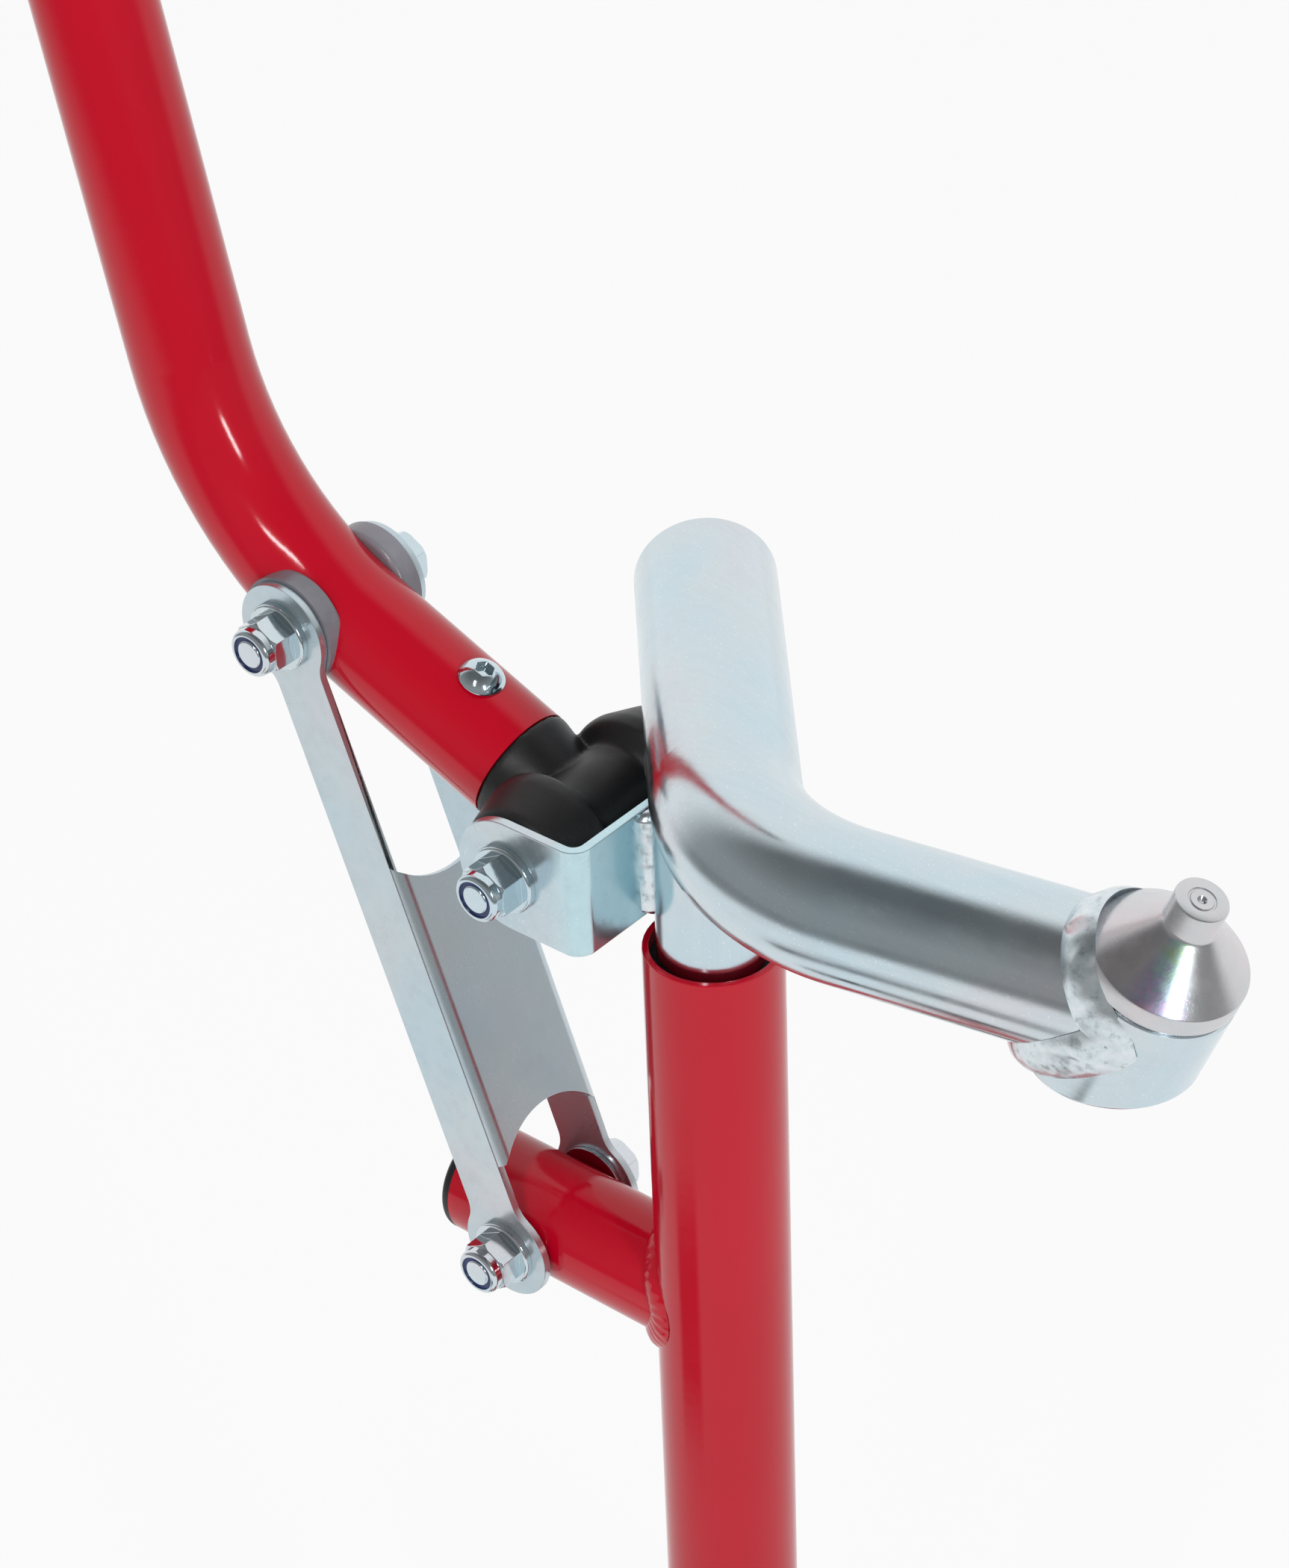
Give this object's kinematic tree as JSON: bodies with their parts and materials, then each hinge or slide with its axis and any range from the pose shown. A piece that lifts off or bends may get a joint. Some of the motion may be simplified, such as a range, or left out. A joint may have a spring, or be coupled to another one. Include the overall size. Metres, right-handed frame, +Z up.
{
  "type": "hand truck",
  "caption": "Lever-lift hand truck: a red post on a wheeled base carries a sliding zinc-plated arm with a coned lifting pin, raised by a bent hand lever through a pivoting link.",
  "frame": {"origin": "on the floor under the post's axis, at the underside of the toe plate", "axes": "+Z up along the post, +X towards the load, +Y to the left of a person pushing"},
  "size_m": [0.517, 0.4278, 1.2726],
  "materials": {
    "red_paint": "gloss powder coat",
    "zinc_plate": "bright zinc plate",
    "black_plastic": "satin",
    "blue_nylon": "satin",
    "grey_plastic": "satin",
    "tyre_rubber": "matte",
    "rim_paint": "satin grey"
  },
  "bodies": {
    "frame": {"post_tube": "red_paint", "stub_tube": "red_paint", "stub_weld": "red_paint", "stub_end_cap": "black_plastic", "upper_guide_bush": "black_plastic", "lift_stop_ring": "zinc_plate", "toe_plate": "red_paint", "toe_weld": "red_paint", "axle_tube": "red_paint", "axle_cheek_left": "red_paint", "axle_cheek_right": "red_paint", "brace_tube": "red_paint", "axle_rod": "zinc_plate", "axle_washer_left": "zinc_plate", "axle_washer_right": "zinc_plate", "axle_cap_left": "black_plastic", "axle_cap_right": "black_plastic"},
    "lift_head": {"sleeve_tube": "zinc_plate", "lower_guide_bush": "black_plastic", "yoke_tube": "zinc_plate", "yoke_end_disc": "zinc_plate", "yoke_weld": "zinc_plate", "pin_boss": "zinc_plate", "boss_weld": "zinc_plate", "lift_pin": "zinc_plate", "pivot_bracket": "zinc_plate", "bracket_welds": "zinc_plate", "pivot_bolt": "zinc_plate", "pivot_nut": "zinc_plate", "pivot_nut_ring": "blue_nylon"},
    "lever": {"lever_tube": "red_paint", "pivot_plug": "black_plastic", "pivot_sleeve": "zinc_plate", "plug_screw": "zinc_plate", "lever_spacers": "grey_plastic", "lever_grip": "black_plastic"},
    "link": {"link_channel": "zinc_plate", "link_bolts": "zinc_plate", "link_nuts": "zinc_plate", "link_nut_rings": "blue_nylon", "link_washers": "zinc_plate"},
    "wheel_left": {"tyre_left": "tyre_rubber", "wheel_rim_left": "rim_paint", "wheel_bushes_left": "black_plastic"},
    "wheel_right": {"tyre_right": "tyre_rubber", "wheel_rim_right": "rim_paint", "wheel_bushes_right": "black_plastic"}
  },
  "joints": [
    {"name": "head_lift", "type": "slide", "parent": "frame", "child": "lift_head", "axis": [0, 0, 1], "range_m": [0, 0.061]},
    {"name": "lever_tilt", "type": "hinge", "parent": "lift_head", "child": "lever", "pos_m": [-0.042, 0, 0.7255], "axis": [0, -1, 0], "range_deg": [0, 36]},
    {"name": "link_swing", "type": "hinge", "parent": "frame", "child": "link", "pos_m": [-0.0665, 0, 0.568], "axis": [0, -1, 0], "range_deg": [0, 1.7]},
    {"name": "wheel_left_spin", "type": "hinge", "parent": "frame", "child": "wheel_left", "pos_m": [-0.11, 0, 0.1], "axis": [0, 1, 0], "continuous": true},
    {"name": "wheel_right_spin", "type": "hinge", "parent": "frame", "child": "wheel_right", "pos_m": [-0.11, 0, 0.1], "axis": [0, 1, 0], "continuous": true}
  ],
  "couplings": [
    {"joint": "head_lift", "follows": "lever_tilt", "m_per_rad": 0.096424},
    {"joint": "link_swing", "follows": "lever_tilt", "ratio": 0.04556}
  ]
}
